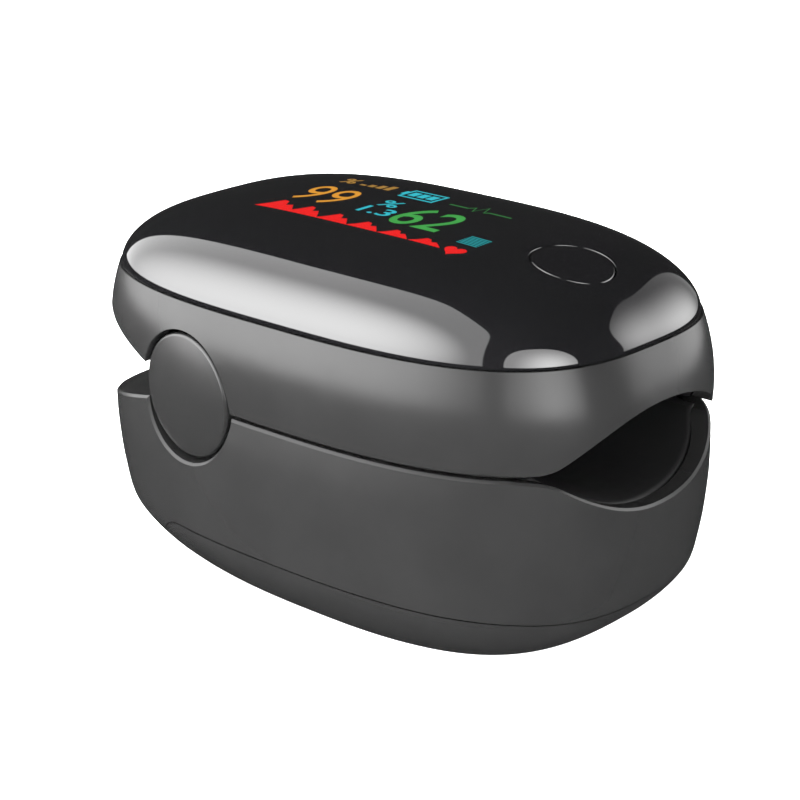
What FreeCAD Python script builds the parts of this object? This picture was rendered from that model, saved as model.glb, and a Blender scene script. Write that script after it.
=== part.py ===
import FreeCAD, Part
import math
import os
import Sketcher

# Fingertip pulse oximeter: two spring-loaded jaws that close on a finger.
# Frame: +Z up, the finger goes in along +Y from the front at -Y, the jaw hinge
# runs along X, and the origin is the middle of the flat underneath.

V = FreeCAD.Vector
TURN = FreeCAD.Rotation

DIMENSIONS = [
    # name, value in mm (or degrees, or a plain exponent), what it is
    ("seam_length", 29.99, "half length at the seam between the jaws"),
    ("seam_width", 18.47, "half width at the seam"),
    ("seam_power", 2.76, "squareness of the outline at the seam"),
    ("seam_height", 21.83, "height of the seam"),
    ("seam_gap", 0.34, "gap between the closed jaws"),
    ("rim_length", 28.61, "half length where the glossy cover starts"),
    ("rim_width", 17.65, "half width there"),
    ("rim_power", 2.96, "squareness there"),
    ("rim_height", 30.93, "height there"),
    ("rim_step", 0.18, "the cover is this much smaller than the shell"),
    ("upper_bulge", 0.56, "how far the upper wall bows out"),
    ("crown_height", 6.57, "rise of the cover above its rim"),
    ("belt_length", 29.16, "half length at the lower belt"),
    ("belt_width", 18.68, "half width at the lower belt"),
    ("belt_power", 2.63, "squareness at the belt"),
    ("belt_height", 9.20, "height of the belt"),
    ("lower_bulge", 0.43, "how far the lower wall bows out"),
    ("belly_depth", 10.40, "depth of the full belly below the belt"),
    ("wall", 1.60, "shell wall"),
    ("cover_wall", 1.25, "wall of the glossy cover and the battery cover"),
    ("slip", 0.15, "gap round the battery cover"),
    ("edge", 0.22, "small chamfer on the visible edges"),
    ("hinge_back", 9.95, "hinge axis, distance behind the middle"),
    ("hinge_height", 22.30, "hinge axis, height"),
    ("eye_radius", 6.20, "round cut-out in both shells at the hinge"),
    ("cap_radius", 5.82, "hinge cap"),
    ("cap_face", 17.95, "middle of the hinge cap's rim from the middle"),
    ("cap_lean", 5.5, "lean of the hinge cap towards the rear, degrees"),
    ("axle_radius", 1.50, "steel hinge axle"),
    ("axle_fit", 0.05, "radial clearance of the upper ears on the axle"),
    ("open_up", 17.0, "slope of the upper jaw behind the hinge, degrees"),
    ("open_down", 15.0, "slope of the lower jaw behind the hinge, degrees"),
    ("deck_start", 16.40, "where the rear decks start"),
    ("chamber_width", 11.50, "half width of the finger opening"),
    ("chamber_top", 26.40, "top of the finger opening"),
    ("chamber_bottom", 17.30, "bottom of the finger opening"),
    ("chamber_end", 5.00, "finger stop, distance behind the middle"),
    ("pad_wall", 1.20, "silicone pad thickness"),
    ("cell_radius", 5.10, "AAA cell"),
    ("cell_length", 43.70, "AAA cell without its nub"),
    ("nub_length", 0.80, "nub of the cell"),
    ("nub_radius", 1.90, "nub of the cell"),
    ("cell_side", 5.60, "cell axis from the middle"),
    ("cell_height", 9.50, "cell axis height"),
    ("button_radius", 3.67, "power button"),
    ("button_fit", 0.12, "gap round the button"),
    ("button_front", 19.90, "button centre, distance in front of the middle"),
    ("button_tilt", 11.2, "lean of the button towards the front, degrees"),
    ("board_length", 47.0, "main board"),
    ("board_width", 27.0, "main board"),
    ("board_corner", 8.0, "main board corner radius"),
    ("board_thick", 0.80, "printed boards"),
    ("board_height", 30.60, "underside of the main board"),
    ("panel_length", 28.6, "display glass"),
    ("panel_width", 17.2, "display glass"),
    ("panel_thick", 1.00, "display glass"),
    ("panel_height", 34.40, "underside of the display glass"),
    ("frame_length", 30.4, "display frame"),
    ("frame_width", 19.0, "display frame"),
    ("frame_thick", 2.60, "display frame"),
    ("switch_size", 4.50, "tact switch body"),
    ("switch_thick", 1.80, "tact switch body"),
    ("plunger_radius", 1.15, "tact switch plunger"),
    ("screw_radius", 0.80, "case screws"),
    ("screw_head", 1.50, "case screw head radius"),
    ("screw_side", 13.90, "case screws from the middle"),
]

doc = FreeCAD.newDocument("PulseOximeter")
sheet = doc.addObject("Spreadsheet::Sheet", "Sizes")
for row, (alias, value, note) in enumerate(DIMENSIONS, start=1):
    sheet.set(f"A{row}", note)
    sheet.set(f"B{row}", str(value))
    sheet.setAlias(f"B{row}", alias)
doc.recompute()

subparts = []


def size(alias):
    """A driving dimension, read back from the sheet."""
    return float(sheet.get(alias))


def keep(item, label):
    """Name an object and list it as a sub-part of the device."""
    item.Label = label
    subparts.append(item)
    return item


def shaped(label, shape):
    """A sub-part whose shape comes from Part's own functions."""
    item = doc.addObject("Part::Feature", label)
    item.Shape = shape
    return keep(item, label)


# ---------------------------------------------------------------- outlines

def mix(start, end, share):
    return start + (end - start) * share


def oval(half_length, half_width, power, height):
    """A smooth squared oval: a superellipse with its long side along Y."""
    points = []
    count = 48
    for step in range(count):
        angle = 2 * math.pi * step / count
        across, along = math.cos(angle), math.sin(angle)
        reach = (abs(across) ** power + abs(along) ** power) ** (-1 / power)
        points.append(V(half_width * across * reach, half_length * along * reach, height))
    curve = Part.BSplineCurve()
    curve.interpolate(Points=points, PeriodicFlag=True,
                      Parameters=[float(step) for step in range(count + 1)])
    return Part.Wire([curve.toShape()])


def upper_oval(share, inset):
    """Outline of the upper jaw; share runs from 0 at the seam to 1 at the rim."""
    bow = size("upper_bulge") * 4 * share * (1 - share) - inset
    return oval(mix(size("seam_length"), size("rim_length"), share) + bow,
                mix(size("seam_width"), size("rim_width"), share) + bow,
                mix(size("seam_power"), size("rim_power"), share),
                mix(size("seam_height"), size("rim_height"), share))


def lower_oval(share, inset):
    """Outline of the lower jaw; share runs from 0 at the belt to 1 at the seam."""
    bow = size("lower_bulge") * 4 * share * (1 - share) - inset
    return oval(mix(size("belt_length"), size("seam_length"), share) + bow,
                mix(size("belt_width"), size("seam_width"), share) + bow,
                mix(size("belt_power"), size("seam_power"), share),
                mix(size("belt_height"), size("seam_height"), share))


def belly_oval(turn, inset):
    """Outline of the belly; turn is 0 degrees at the belt and grows towards the bottom."""
    roundness = 2 / 1.53
    spread = math.cos(math.radians(turn)) ** roundness
    sink = math.sin(math.radians(turn)) ** roundness
    return oval(size("belt_length") * (0.412 + 0.588 * spread) - inset,
                size("belt_width") * (0.243 + 0.757 * spread) - inset,
                size("belt_power"),
                size("belt_height") - size("belly_depth") * sink + inset * sink)


def loft(rings):
    return Part.makeLoft(rings, True, False, False, 3)


def upper_block(inset, low=0.0, high=1.0):
    steps = 7
    return loft([upper_oval(mix(low, high, k / steps), inset) for k in range(steps + 1)])


def lower_block(inset, high=1.0):
    """The whole lower jaw: a belly cut off flat underneath, then a gently bowed wall."""
    flat = (size("belt_height") / size("belly_depth")) ** (1.53 / 2)
    lowest = math.degrees(math.asin(flat))
    rings = [belly_oval(lowest * share, inset) for share in (1, 0.875, 0.75, 0.625, 0.5, 0.375, 0.25, 0.125)]
    rings += [lower_oval(high * share, inset) for share in (0.0, 0.167, 0.333, 0.5, 0.667, 0.833, 1.0)]
    return loft(rings)


def crown_block(inset, drop=0.0):
    """The cover's dome, rounded over towards a nearly flat top."""
    rings = []
    for scale in (1.0, 0.99, 0.97, 0.94, 0.9, 0.85, 0.78, 0.7, 0.6, 0.48, 0.36, 0.24, 0.12):
        rise = size("crown_height") * (1 - scale ** 4) ** 0.565
        rings.append(oval((size("rim_length") - size("rim_step")) * scale - inset * scale ** 3,
                          (size("rim_width") - size("rim_step")) * scale - inset * scale ** 3,
                          size("rim_power"),
                          size("rim_height") + rise - drop))
    return loft(rings)


# ---------------------------------------------------------------- tools

def box(low, high):
    return Part.makeBox(high[0] - low[0], high[1] - low[1], high[2] - low[2], V(*low))


def rod(radius, start, end):
    return Part.makeCylinder(radius, (V(*end) - V(*start)).Length, V(*start), V(*end) - V(*start))


def hinge_rod(radius, start, end):
    """A cylinder on the hinge axis between two places along X."""
    back, height = size("hinge_back"), size("hinge_height")
    return rod(radius, (start, back, height), (end, back, height))


def above(angle, near, lift):
    """Space above a plane through the hinge axis that slopes by angle, behind near."""
    return slope(angle, near, lift, 40)


def below(angle, near, lift):
    """Space below such a plane."""
    return slope(angle, near, -40, lift)


def slope(angle, near, low, high):
    block = box((-30, near - size("hinge_back"), low), (30, 40, high))
    block.rotate(V(0, 0, 0), V(1, 0, 0), angle)
    block.translate(V(0, size("hinge_back"), size("hinge_height")))
    return block


def arch_line(wide, rise, top_side, count):
    """Half of the finger opening's outline as (across, rise) pairs, seen from the front."""
    power, blend = (2.2, 0.87) if top_side else (2.0, 0.9)
    line = []
    for step in range(-count, count + 1):
        across = step / 10
        line.append((wide * across, rise * (1 - abs(across) ** power) ** blend))
    return line


def tunnel_along(line, level, toward, start, end):
    """A tool along Y that removes everything between an outline and the other jaw."""
    curve = [V(across, start, level + toward * rise) for across, rise in line]
    top = Part.BSplineCurve()
    top.interpolate(curve)
    back = 3.0 * -toward
    corners = [curve[-1], curve[-1] + V(0, 0, back), curve[0] + V(0, 0, back), curve[0]]
    sides = [Part.makeLine(corners[k], corners[k + 1]) for k in range(3)]
    return Part.Face(Part.Wire([top.toShape()] + sides)).extrude(V(0, end - start, 0))


def tunnel(grow, top_side, start, end):
    """The finger opening itself, grown by so much all round."""
    level = size("seam_height")
    crown = size("chamber_top") if top_side else size("chamber_bottom")
    line = arch_line(size("chamber_width") + grow, abs(crown - level) + grow, top_side, 10)
    return tunnel_along(line, level, 1 if top_side else -1, start, end)


def mouth(top_side, start, end):
    """The opening in a shell: its ends run out softly into the seam."""
    toward = 1 if top_side else -1
    level = size("seam_height") + toward * size("seam_gap") / 2
    crown = size("chamber_top") if top_side else size("chamber_bottom")
    wide = size("chamber_width")
    line = arch_line(wide, abs(crown - level), top_side, 9)
    tail = [(wide * 0.975, line[-1][1] * 0.47), (wide + 0.9, 0.16), (wide + 2.3, -0.03)]
    line = [(-across, rise) for across, rise in reversed(tail)] + line + tail
    return tunnel_along(line, level, toward, start, end)


def cover_side(grow):
    """Side view of the battery cover as a tool: front, sloping edge and round rear corner."""
    heights = ((-33, 7.2), (-28.5, 7.6), (-25, 8.0), (-18, 8.45), (-13, 8.72), (-8, 8.88), (1, 8.98))
    corner = 4.3
    rear = 15.9
    level = 9.05 + grow
    path = [V(0, along, up + grow) for along, up in heights] + [V(0, rear - corner, level)]
    line = Part.BSplineCurve()
    line.interpolate(path)
    middle = V(0, rear - corner, level - corner - grow)
    reach = corner + grow
    bend = Part.Arc(V(0, middle.y, level), middle + V(0, reach * math.sin(0.785), reach * math.cos(0.785)),
                    V(0, rear + grow, middle.z))
    low = -3
    sides = [Part.makeLine(V(0, rear + grow, middle.z), V(0, rear + grow, low)),
             Part.makeLine(V(0, rear + grow, low), V(0, -33, low)),
             Part.makeLine(V(0, -33, low), path[0])]
    face = Part.Face(Part.Wire([line.toShape(), bend.toShape()] + sides))
    face.translate(V(-25, 0, 0))
    return face.extrude(V(50, 0, 0))


def mirrored(shape):
    return shape.mirror(V(0, 0, 0), V(1, 0, 0))


def both_sides(shape):
    return [shape, mirrored(shape)]


# ---------------------------------------------------------------- helpers for bound pieces

def bound(kind, label, rules, turn=None):
    """A document object whose properties follow the sheet."""
    item = doc.addObject(kind, label)
    if turn is not None:
        item.Placement = FreeCAD.Placement(V(0, 0, 0), turn)
    for prop, rule in rules.items():
        item.setExpression(prop, rule)
    return item


def origin_plane(body, role):
    return next(part for part in body.Origin.OriginFeatures if part.Role == role)


def centred_rectangle(sketch, wide, deep):
    """Four lines centred on the sketch's origin, with both sides bound to the sheet."""
    corners = [V(-1, -1, 0), V(1, -1, 0), V(1, 1, 0), V(-1, 1, 0)]
    for k in range(4):
        sketch.addGeometry(Part.LineSegment(corners[k], corners[(k + 1) % 4]), False)
    for k in range(4):
        sketch.addConstraint(Sketcher.Constraint("Coincident", k, 2, (k + 1) % 4, 1))
    for k in (0, 2):
        sketch.addConstraint(Sketcher.Constraint("Horizontal", k))
    for k in (1, 3):
        sketch.addConstraint(Sketcher.Constraint("Vertical", k))
    sketch.addConstraint(Sketcher.Constraint("Symmetric", 0, 1, 2, 1, -1, 1))
    across = sketch.addConstraint(Sketcher.Constraint("DistanceX", 0, 1, 0, 2, 2))
    along = sketch.addConstraint(Sketcher.Constraint("DistanceY", 1, 1, 1, 2, 2))
    sketch.setExpression(f"Constraints[{across}]", wide)
    sketch.setExpression(f"Constraints[{along}]", deep)


def slab(label, wide, deep, thick, spot, corner=None, hole=None):
    """A flat piece: a padded rectangle, with round corners and a rectangular hole if asked."""
    body = doc.addObject("PartDesign::Body", label)
    sketch = body.newObject("Sketcher::SketchObject", label + "_outline")
    sketch.AttachmentSupport = [(origin_plane(body, "XY_Plane"), "")]
    sketch.MapMode = "FlatFace"
    centred_rectangle(sketch, wide, deep)
    if hole:
        centred_hole = body.newObject("Sketcher::SketchObject", label + "_hole")
        centred_hole.AttachmentSupport = [(origin_plane(body, "XY_Plane"), "")]
        centred_hole.MapMode = "FlatFace"
        centred_rectangle(centred_hole, hole[0], hole[1])
    pad = body.newObject("PartDesign::Pad", label + "_pad")
    pad.Profile = sketch
    pad.setExpression("Length", thick)
    doc.recompute()
    tip = pad
    if hole:
        tip = body.newObject("PartDesign::Pocket", label + "_pocket")
        tip.Profile = centred_hole
        tip.Type = "ThroughAll"
        tip.Reversed = True
        doc.recompute()
    if corner:
        upright = []
        for number, edge in enumerate(tip.Shape.Edges, start=1):
            reach = edge.BoundBox
            outer = abs(reach.XMin) > tip.Shape.BoundBox.XMax - 0.01
            if reach.ZLength > 0.01 and reach.XLength < 0.001 and reach.YLength < 0.001 and outer:
                upright.append(f"Edge{number}")
        rounding = body.newObject("PartDesign::Fillet", label + "_corners")
        rounding.Base = (tip, upright)
        rounding.setExpression("Radius", corner)
        doc.recompute()
    for axis, rule in zip("xyz", spot):
        body.setExpression(f"Placement.Base.{axis}", rule)
    return keep(body, label)


# ---------------------------------------------------------------- lower jaw

SCREW_ROWS = (-15.0, -1.5)
EAR_RADIUS = 3.6
LOWER_EAR = (12.8, 15.4)
UPPER_EAR = (9.6, 12.4)


def screw_spots():
    return [(side * size("screw_side"), row) for side in (-1, 1) for row in SCREW_ROWS]


def chamfer_rims(block, skip_height):
    """Break the long curved rims of a shell block, apart from the one at skip_height."""
    rims = []
    for edge in block.Edges:
        reach = edge.BoundBox
        curved = edge.Curve.TypeId != "Part::GeomLine"
        skipped = abs(reach.ZMin - skip_height) < 0.01 and reach.ZLength < 0.02
        if curved and not skipped and edge.Length > 4 and reach.YLength > 1 and reach.XLength > 0.3:
            rims.append(edge)
    return block.makeChamfer(size("edge"), rims)


def seam_bevel(level, share):
    """The bevelled band along the lower edge of the upper jaw."""
    top = upper_oval(share, 0)
    bottom = upper_oval(share, size("edge"))
    bottom.translate(V(0, 0, level - bottom.BoundBox.ZMin))
    return Part.makeLoft([bottom, top], True, True)


def screw_posts(low, high, inside):
    """Posts for the case screws, each tied to the side wall by a web."""
    posts = []
    for across, along in screw_spots():
        outward = math.copysign(5, across)
        web = box((min(across, across + outward), along - 1.1, low),
                  (max(across, across + outward), along + 1.1, high))
        posts.append(rod(2.4, (across, along, low), (across, along, high)).fuse(web).common(inside))
    return posts


def make_lower_shell():
    level = size("seam_height") - size("seam_gap") / 2
    outer = lower_block(0).common(box((-30, -40, -1), (30, 40, level)))
    outer = outer.cut(above(-size("open_down"), size("hinge_back"), 0))
    outer = outer.cut([mouth(False, -35, -20)] + both_sides(hinge_rod(size("eye_radius"), LOWER_EAR[1], 25)))
    outer = chamfer_rims(outer, 0)
    hollow = lower_block(size("wall"), 1.1)
    hollow = hollow.cut(above(-size("open_down"), size("deck_start"), -size("wall")))
    shell = outer.cut(hollow)
    shell = shell.cut(cover_side(size("slip")))
    inside = lower_block(size("wall") / 2)
    posts = screw_posts(11, 15.35, inside)
    posts += [foot.common(inside) for foot in both_sides(box((LOWER_EAR[0], 6.6, 15.4), (17.6, 13.3, 19.4)))]
    ears = both_sides(hinge_rod(EAR_RADIUS, *LOWER_EAR))
    ears += both_sides(box((LOWER_EAR[0], 6.6, 17.4), (LOWER_EAR[1], 13.3, size("hinge_height"))))
    shell = shell.fuse(posts + ears)
    shell = shell.cut(both_sides(hinge_rod(size("eye_radius"), LOWER_EAR[1], 25)))
    shell = shell.cut(both_sides(hinge_rod(size("axle_radius") + 0.01, 12, 16)))
    pilots = [rod(size("screw_radius"), (across, along, 12), (across, along, 16))
              for across, along in screw_spots()]
    return shaped("lower_shell", shell.cut(pilots))


def make_battery_cover():
    cover = lower_block(0).cut(lower_block(size("cover_wall")))
    return shaped("battery_cover", cover.common(cover_side(0)))


def make_battery_tray():
    """The chassis that holds both cells, open underneath."""
    half = size("cell_length") / 2 + size("nub_length") + 0.2
    tray = box((-11.3, -25.4, 5.4), (11.3, 25.4, 15.1)).common(lower_block(size("wall") + 0.35))
    for side in (-1, 1):
        across = side * size("cell_side")
        radius = size("cell_radius") + 0.2
        tray = tray.cut(rod(radius, (across, -half, size("cell_height")), (across, half, size("cell_height"))))
        tray = tray.cut(box((across - radius, -half, 0), (across + radius, half, size("cell_height"))))
    for near, far in ((-24.2, 1 - half), (half - 1, 24.2)):
        tray = tray.cut(box((-10.6, near, 0), (10.6, far, 14.3)))
    return shaped("battery_tray", tray)


def make_cells():
    """Two AAA cells side by side, one each way round."""
    for side, label in ((-1, "battery_left"), (1, "battery_right")):
        place = {"Placement.Base.x": f"{side} * Sizes.cell_side", "Placement.Base.z": "Sizes.cell_height"}
        turn = TURN(V(1, 0, 0), 90 * side)
        start = f"{side} * (Sizes.cell_length + Sizes.nub_length) / 2"
        can = bound("Part::Cylinder", label + "_can",
                    {"Radius": "Sizes.cell_radius", "Height": "Sizes.cell_length",
                     "Placement.Base.y": start, **place}, turn)
        nub = bound("Part::Cylinder", label + "_nub",
                    {"Radius": "Sizes.nub_radius", "Height": "Sizes.cell_length + Sizes.nub_length",
                     "Placement.Base.y": start, **place}, turn)
        cell = doc.addObject("Part::MultiFuse", label)
        cell.Shapes = [can, nub]
        keep(cell, label)


def make_contacts():
    """Bridge plate in front, two plates behind, and a spring at each cell's flat end."""
    gap = 1.35
    plate = 0.3
    far = size("cell_length") / 2 + size("nub_length") / 2 + gap
    level = size("cell_height")
    side = size("cell_side")
    bridge = box((-9.0, -far - plate, level - 2.6), (9.0, -far, level + 4))
    bridge = bridge.fuse(rod(1.6, (side, -far, level), (side, -far + gap - 0.05, level)))
    shaped("contact_bridge", bridge)
    plates = []
    for place in (-side, side):
        plates.append(box((place - 3.3, far, level - 2.3), (place + 3.3, far + plate, level + 4)))
    plates[0] = plates[0].fuse(rod(1.6, (-side, far, level), (-side, far - gap + 0.05, level)))
    shaped("contact_plates", Part.makeCompound(plates))
    coils = []
    for place, start, turn in ((-side, -far, -90), (side, far, 90)):
        coil = ring_spring(2.4, 0.16, (0.18, 0.65, 1.12))
        coil.rotate(V(0, 0, 0), V(1, 0, 0), turn)
        coil.translate(V(place, start, level))
        coils.append(coil)
    shaped("contact_springs", Part.makeCompound(coils))


def ring_spring(radius, wire, levels):
    """A short compression spring drawn as level turns that two cross-overs join."""
    turns = [Part.makeTorus(radius, wire, V(0, 0, level)) for level in levels]
    joints = []
    for side, low, high in ((1, levels[0], levels[1]), (-1, levels[1], levels[2])):
        joints.append(rod(0.8 * wire, (side * radius, 0, low), (side * radius, 0, high)))
    return turns[0].fuse(turns[1:] + joints)


def make_jaw_springs():
    """Torsion springs on the axle: both legs point back and push the rear ends apart."""
    radius, wire, pitch, leg = 2.7, 0.4, 1.0, 5.4
    back, height = size("hinge_back"), size("hinge_height")
    for side, label in ((-1, "jaw_spring_left"), (1, "jaw_spring_right")):
        places = [side * (4.9 + pitch * k) for k in range(5)]
        turns = [Part.makeTorus(radius, wire, V(place, back, height), V(1, 0, 0)) for place in places]
        for number, (near, far) in enumerate(zip(places, places[1:])):
            across = radius * (-1) ** number
            turns.append(rod(0.8 * wire, (near, back + across, height), (far, back + across, height)))
        for place, up in ((places[0], -radius), (places[-1], radius)):
            turns.append(rod(0.8 * wire, (place, back, height + up), (place, back + leg, height + up)))
        shaped(label, turns[0].fuse(turns[1:]))


def make_hinge():
    across = TURN(V(0, 1, 0), 90)
    axle = bound("Part::Cylinder", "hinge_axle",
                 {"Radius": "Sizes.axle_radius", "Height": "2 * (Sizes.cap_face - 1.3)",
                  "Placement.Base.x": "-(Sizes.cap_face - 1.3)", "Placement.Base.y": "Sizes.hinge_back",
                  "Placement.Base.z": "Sizes.hinge_height"}, across)
    keep(axle, "hinge_axle")
    face = size("cap_face")
    crown = 0.60
    ball = (size("cap_radius") ** 2 + crown ** 2) / (2 * crown)
    lean = math.radians(size("cap_lean"))
    facing = V(math.cos(lean), math.sin(lean), 0)
    middle = V(face, size("hinge_back"), size("hinge_height"))
    drum = hinge_rod(size("cap_radius"), 15.6, face + 2)
    cap = drum.common(Part.makeSphere(ball, middle - facing * (ball - crown)))
    rim = [edge for edge in cap.Edges if edge.BoundBox.XMin > 16.5 and edge.Length > 5]
    cap = cap.makeFillet(0.35, rim)
    cap = cap.cut(hinge_rod(size("axle_radius") + 0.02, 15, face - 1.2))
    shaped("hinge_cap_right", cap)
    shaped("hinge_cap_left", mirrored(cap))


def make_lower_cradle():
    cradle = box((-20, -27.4, 15.4), (20, 6.3, 21.45)).common(lower_block(size("wall") + 0.25))
    cradle = cradle.cut(tunnel(size("pad_wall") + 0.08, False, -30, 7))
    cradle = cradle.cut(both_sides(hinge_rod(6.7, 12.6, 25)))
    cradle = cradle.cut(hinge_rod(4.4, -13, 13))
    cradle = cradle.cut(box((-3.4, -13.4, 15), (3.4, -2.6, 17)))
    for across, along in screw_spots():
        cradle = cradle.cut(rod(size("screw_radius") + 0.15, (across, along, 15), (across, along, 20)))
        cradle = cradle.cut(rod(size("screw_head") + 0.2, (across, along, 19.9), (across, along, 22)))
    return shaped("lower_cradle", cradle)


def make_lower_pad():
    pad = tunnel(size("pad_wall"), False, -30, size("chamber_end") + size("pad_wall"))
    pad = pad.cut(tunnel(0, False, -31, size("chamber_end")))
    pad = pad.common(lower_block(size("wall") + 0.1)).common(box((-20, -30, 15), (20, 8, 21.45)))
    return shaped("lower_pad", pad.cut(box((-3.1, -12.1, 15), (3.1, -3.9, 18))))


def make_screws(label, seat, tip):
    """Four equal pan-head screws with a cross recess."""
    screws = []
    toward = 1 if tip > seat else -1
    for across, along in screw_spots():
        head = rod(size("screw_head"), (across, along, seat), (across, along, seat + 0.8 * toward))
        shank = rod(size("screw_radius") - 0.02, (across, along, seat), (across, along, tip))
        screw = head.fuse(shank)
        low, high = sorted((seat - 0.1 * toward, seat + 0.4 * toward))
        for long_side, short_side in ((0.9, 0.18), (0.18, 0.9)):
            screw = screw.cut(box((across - long_side, along - short_side, low),
                                  (across + long_side, along + short_side, high)))
        screws.append(screw)
    shaped(label, Part.makeCompound(screws))


def make_sensor():
    spot = ("0", "-8", "15.42")
    slab("sensor_board", "6.4", "10.4", "0.6", spot)
    slab("photodiode", "2.8", "3.4", "0.6", ("0", "-8", "16.05"))
    slab("sensor_window", "6.0", "8.0", "0.5", ("0", "-8", "16.72"), corner="1.2")


def make_flex():
    """A flat ribbon from the main board down behind the axle to the sensor board."""
    strip = box((-3, 15.2, 15.22), (3, 15.35, 30.3))
    strip = strip.fuse(box((-3, -12, 15.22), (3, 15.35, 15.37)))
    shaped("flex_cable", strip)


# ---------------------------------------------------------------- upper jaw

def make_upper_shell():
    level = size("seam_height") + size("seam_gap") / 2
    start = (size("seam_gap") / 2 + size("edge")) / (size("rim_height") - size("seam_height"))
    outer = upper_block(0, start, 1.0).fuse(seam_bevel(level, start))
    outer = outer.cut(below(size("open_up"), size("hinge_back"), 0))
    hollow = upper_block(size("wall"), -0.15, 1.1)
    hollow = hollow.cut(below(size("open_up"), size("deck_start"), size("wall")))
    shell = outer.cut(hollow)
    shell = shell.cut(both_sides(hinge_rod(size("eye_radius"), 10, 25)))
    shell = shell.cut(mouth(True, -35, -20))
    shell = shell.fuse(screw_posts(28.9, 30.55, upper_block(size("wall") / 2)))
    pilots = [rod(size("screw_radius"), (across, along, 28), (across, along, 31))
              for across, along in screw_spots()]
    return shaped("upper_shell", shell.cut(pilots))


def button_frame():
    """The button's centre on the cover and the direction it faces."""
    share = size("button_front") / (size("rim_length") - size("rim_step"))
    height = size("rim_height") + size("crown_height") * (1 - share ** 4) ** 0.565
    lean = math.radians(size("button_tilt"))
    return V(0, -size("button_front"), height), V(0, -math.sin(lean), math.cos(lean))


def make_top_cover():
    skin = size("cover_wall")
    cover = crown_block(0).common(box((-30, -40, size("rim_height") + 0.1), (30, 40, 45)))
    cover = cover.cut(crown_block(skin, skin))
    middle, facing = button_frame()
    radius = size("button_radius") + size("button_fit")
    cover = cover.cut(Part.makeCylinder(radius, 6, middle - facing * 3, facing))
    return shaped("top_cover", cover)


def make_button():
    middle, facing = button_frame()
    head = Part.makeCylinder(size("button_radius"), 5, middle - facing * 1.9, facing).common(crown_block(0))
    flange = Part.makeCylinder(4.4, 0.5, middle - facing * 2.4, facing)
    stem = Part.makeCylinder(1.1, 2.0, middle - facing * 4.2, facing)
    button = head.fuse([flange, stem]).cut(box((-5, -30, 30), (5, -10, 33.78)))
    return shaped("power_button", button)


def make_switch():
    slab("switch_body", "Sizes.switch_size", "Sizes.switch_size", "Sizes.switch_thick",
         ("0", "-19.35", "Sizes.board_height + Sizes.board_thick"), corner="0.4",
         hole=("2 * Sizes.plunger_radius + 0.5", "2 * Sizes.plunger_radius + 0.5"))
    plunger = bound("Part::Cylinder", "switch_plunger",
                    {"Radius": "Sizes.plunger_radius", "Height": "1.5",
                     "Placement.Base.y": "-19.35", "Placement.Base.z": "32.25"})
    keep(plunger, "switch_plunger")


def make_upper_cradle():
    cradle = box((-20, -27.4, 22.35), (20, 6.4, 28.8)).fuse(box((-20, 6, 26.5), (20, 14.2, 28.8)))
    cradle = cradle.common(upper_block(size("wall") + 0.25, -0.1, 1.0))
    cradle = cradle.cut(tunnel(size("pad_wall") + 0.08, True, -30, 6.5))
    cradle = cradle.cut(hinge_rod(4.15, -13, 13))
    ears = both_sides(hinge_rod(EAR_RADIUS, *UPPER_EAR))
    ears += both_sides(box((UPPER_EAR[0], 6.3, size("hinge_height")), (UPPER_EAR[1], 13.6, 27)))
    cradle = cradle.fuse(ears)
    cradle = cradle.cut(both_sides(hinge_rod(6.7, 12.6, 25)))
    cradle = cradle.cut(hinge_rod(size("axle_radius") + size("axle_fit"), -13, 13))
    cradle = cradle.cut(box((-3.4, -12.4, 26), (3.4, -3.6, 30)))
    for across, along in screw_spots():
        cradle = cradle.cut(rod(size("screw_radius") + 0.15, (across, along, 22), (across, along, 30)))
        cradle = cradle.cut(rod(size("screw_head") + 0.2, (across, along, 22), (across, along, 23.9)))
    return shaped("upper_cradle", cradle)


def make_upper_pad():
    pad = tunnel(size("pad_wall"), True, -30, size("chamber_end") + size("pad_wall"))
    pad = pad.cut(tunnel(0, True, -31, size("chamber_end")))
    pad = pad.common(upper_block(size("wall") + 0.1, -0.1, 1.0)).common(box((-20, -30, 22.4), (20, 8, 28)))
    return shaped("upper_pad", pad.cut(box((-3.1, -12.1, 26), (3.1, -3.9, 28))))


def make_electronics():
    slab("main_board", "Sizes.board_width", "Sizes.board_length", "Sizes.board_thick",
         ("0", "0", "Sizes.board_height"), corner="Sizes.board_corner")
    under = "Sizes.board_height - 1.05"
    slab("processor_chip", "7", "7", "1.0", ("0", "2", under))
    slab("memory_chip", "5", "4", "1.0", ("-8", "-7", under))
    slab("flex_connector", "8", "2.4", "1.0", ("0", "17.2", under))
    buzzer = bound("Part::Cylinder", "buzzer", {"Radius": "3.6", "Height": "1.6", "Placement.Base.x": "8",
                                                "Placement.Base.y": "17",
                                                "Placement.Base.z": "Sizes.board_height - 1.65"})
    keep(buzzer, "buzzer")
    slab("display_frame", "Sizes.frame_width", "Sizes.frame_length", "Sizes.frame_thick",
         ("0", "-0.2", "Sizes.board_height + Sizes.board_thick + 0.05"), corner="1.0",
         hole=("Sizes.frame_width - 3", "Sizes.frame_length - 3"))
    slab("display_panel", "Sizes.panel_width", "Sizes.panel_length", "Sizes.panel_thick",
         ("0", "-0.2", "34.1"), corner="0.6")
    slab("led_window", "6.0", "8.0", "0.5", ("0", "-8", "26.6"), corner="1.2")
    slab("led_emitter", "2.6", "3.2", "1.0", ("0", "-8", "27.3"))


make_lower_shell()
make_battery_cover()
make_battery_tray()
make_cells()
make_contacts()
make_jaw_springs()
make_hinge()
make_lower_cradle()
make_lower_pad()
make_screws("lower_screws", 20.7, 12.6)
make_sensor()
make_flex()
make_upper_shell()
make_top_cover()
make_button()
make_switch()
make_upper_cradle()
make_upper_pad()
make_screws("upper_screws", 23.0, 30.4)
make_electronics()

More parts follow.
